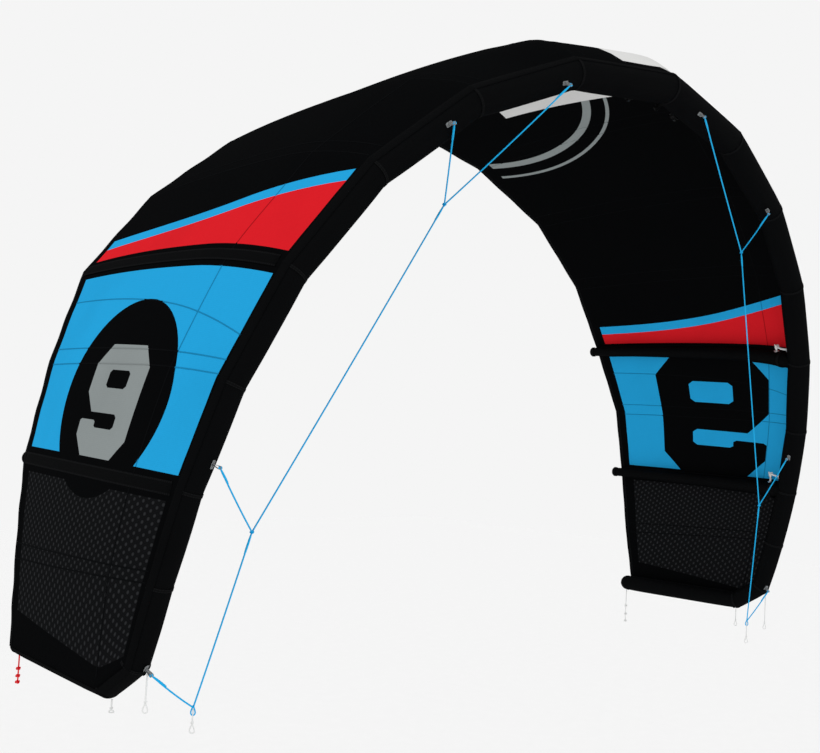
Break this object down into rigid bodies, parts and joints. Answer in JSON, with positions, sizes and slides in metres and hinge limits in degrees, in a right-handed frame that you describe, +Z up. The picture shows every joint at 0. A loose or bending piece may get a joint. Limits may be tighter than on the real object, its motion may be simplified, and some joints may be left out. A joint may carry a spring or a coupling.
{
  "type": "kitesurf kite",
  "caption": "Arched inflatable kitesurf kite with a segmented leading edge tube, inflated struts, a cambered canopy, wingtip tubes, bridle lines and pigtails.",
  "frame": {"origin": "on the leading edge tube's axis at the centre seam", "axes": "+Z up, +X along the span to the right wing, -Y the way the leading edge faces, +Y towards the trailing edge"},
  "size_m": [4.025, 1.6317, 2.7164],
  "materials": {
    "edge_cloth": "woven polyester, low sheen",
    "strut_cloth": "woven polyester, low sheen",
    "canopy_black": "coated ripstop nylon, soft sheen",
    "canopy_red_blue": "coated ripstop nylon, soft sheen",
    "canopy_blue": "coated ripstop nylon, soft sheen",
    "hem_tape": "folded woven tape",
    "band_cloth": "woven polyester with stitched edges",
    "webbing": "flat webbing",
    "bladder_film": "clear soft film",
    "bridle_line": "braided cord",
    "white_line": "braided cord",
    "red_line": "braided cord",
    "valve_plastic": "moulded",
    "cap_plastic": "moulded",
    "tube_plastic": "flexible hose",
    "clamp_plastic": "moulded"
  },
  "bodies": {
    "kite": {"le_casing_left": "edge_cloth", "le_casing_right": "edge_cloth", "le_bladder": "bladder_film", "strut_upper_left": "strut_cloth", "strut_upper_right": "strut_cloth", "strut_lower_left": "strut_cloth", "strut_lower_right": "strut_cloth", "strut_bladder_upper_left": "bladder_film", "strut_bladder_upper_right": "bladder_film", "strut_bladder_lower_left": "bladder_film", "strut_bladder_lower_right": "bladder_film", "strut_end_caps": "edge_cloth", "canopy_left_1": "canopy_black", "canopy_left_2": "canopy_red_blue", "canopy_left_3": "canopy_blue", "canopy_left_4": "canopy_black", "canopy_right_1": "canopy_black", "canopy_right_2": "canopy_red_blue", "canopy_right_3": "canopy_blue", "canopy_right_4": "canopy_black", "trailing_edge_hem": "hem_tape", "seam_band": "band_cloth", "bridle_tabs": "webbing", "pump_leash_tab": "webbing", "bridle_left_upper_inner": "bridle_line", "bridle_left_upper_outer": "bridle_line", "bridle_left_main": "bridle_line", "bridle_left_middle": "bridle_line", "bridle_left_lower": "bridle_line", "bridle_left_tip": "bridle_line", "bridle_right_upper_inner": "bridle_line", "bridle_right_upper_outer": "bridle_line", "bridle_right_main": "bridle_line", "bridle_right_middle": "bridle_line", "bridle_right_lower": "bridle_line", "bridle_right_tip": "bridle_line", "inflate_valve": "valve_plastic", "dump_valve": "valve_plastic", "one_pump_tubes": "tube_plastic", "tube_stubs": "valve_plastic", "clamp_bases": "clamp_plastic"},
    "inflate_cap": {"inflate_cap": "cap_plastic"},
    "dump_cap": {"dump_cap": "cap_plastic"},
    "clamp_lever_upper_left": {"clamp_lever_upper_left": "clamp_plastic"},
    "clamp_lever_upper_right": {"clamp_lever_upper_right": "clamp_plastic"},
    "clamp_lever_lower_left": {"clamp_lever_lower_left": "clamp_plastic"},
    "clamp_lever_lower_right": {"clamp_lever_lower_right": "clamp_plastic"},
    "front_loop_left": {"front_loop_left": "white_line"},
    "front_loop_right": {"front_loop_right": "white_line"},
    "rear_pigtail_left": {"rear_pigtail_left": "red_line"},
    "rear_pigtail_right": {"rear_pigtail_right": "white_line"},
    "corner_pigtail_left": {"corner_pigtail_left": "white_line"},
    "corner_pigtail_right": {"corner_pigtail_right": "white_line"},
    "tip_pigtail_left": {"tip_pigtail_left": "white_line"},
    "tip_pigtail_right": {"tip_pigtail_right": "white_line"}
  },
  "joints": [
    {"name": "inflate_cap_hinge", "type": "hinge", "parent": "kite", "child": "inflate_cap", "pos_m": [0.16581, 0.0652, -0.07905], "axis": [-0.996, -0.0243, 0.0858], "range_deg": [0, 110]},
    {"name": "dump_cap_hinge", "type": "hinge", "parent": "kite", "child": "dump_cap", "pos_m": [-0.16581, 0.0652, -0.07905], "axis": [-0.996, 0.0243, -0.0858], "range_deg": [0, 110]},
    {"name": "clamp_upper_left_hinge", "type": "hinge", "parent": "kite", "child": "clamp_lever_upper_left", "pos_m": [-1.62964, 0.32869, -0.90534], "axis": [-0.6097, 0.6931, 0.3845], "range_deg": [0, 80]},
    {"name": "clamp_upper_right_hinge", "type": "hinge", "parent": "kite", "child": "clamp_lever_upper_right", "pos_m": [1.62964, 0.32869, -0.90534], "axis": [-0.6097, -0.6931, -0.3845], "range_deg": [0, 80]},
    {"name": "clamp_lower_left_hinge", "type": "hinge", "parent": "kite", "child": "clamp_lever_lower_left", "pos_m": [-1.87748, 0.46606, -1.57984], "axis": [-0.7269, 0.6858, 0.0358], "range_deg": [0, 80]},
    {"name": "clamp_lower_right_hinge", "type": "hinge", "parent": "kite", "child": "clamp_lever_lower_right", "pos_m": [1.87748, 0.46606, -1.57984], "axis": [-0.7269, -0.6858, -0.0358], "range_deg": [0, 80]},
    {"name": "front_loop_left_swing", "type": "hinge", "parent": "kite", "child": "front_loop_left", "pos_m": [-1.75, 0.505, -2.355], "axis": [1, 0, 0], "range_deg": [-35, 35]},
    {"name": "front_loop_right_swing", "type": "hinge", "parent": "kite", "child": "front_loop_right", "pos_m": [1.75, 0.505, -2.365], "axis": [1, 0, 0], "range_deg": [-35, 35]},
    {"name": "rear_pigtail_left_swing", "type": "hinge", "parent": "kite", "child": "rear_pigtail_left", "pos_m": [-1.914, 1.39, -2.325], "axis": [1, 0, 0], "range_deg": [-35, 35]},
    {"name": "rear_pigtail_right_swing", "type": "hinge", "parent": "kite", "child": "rear_pigtail_right", "pos_m": [1.914, 1.39, -2.325], "axis": [1, 0, 0], "range_deg": [-35, 35]},
    {"name": "corner_pigtail_left_swing", "type": "hinge", "parent": "kite", "child": "corner_pigtail_left", "pos_m": [-1.94, 0.676, -2.336], "axis": [1, 0, 0], "range_deg": [-35, 35]},
    {"name": "corner_pigtail_right_swing", "type": "hinge", "parent": "kite", "child": "corner_pigtail_right", "pos_m": [1.94, 0.676, -2.336], "axis": [1, 0, 0], "range_deg": [-35, 35]},
    {"name": "tip_pigtail_left_swing", "type": "hinge", "parent": "kite", "child": "tip_pigtail_left", "pos_m": [-1.93, 0.496, -2.224], "axis": [1, 0, 0], "range_deg": [-35, 35]},
    {"name": "tip_pigtail_right_swing", "type": "hinge", "parent": "kite", "child": "tip_pigtail_right", "pos_m": [1.93, 0.496, -2.224], "axis": [1, 0, 0], "range_deg": [-35, 35]}
  ]
}
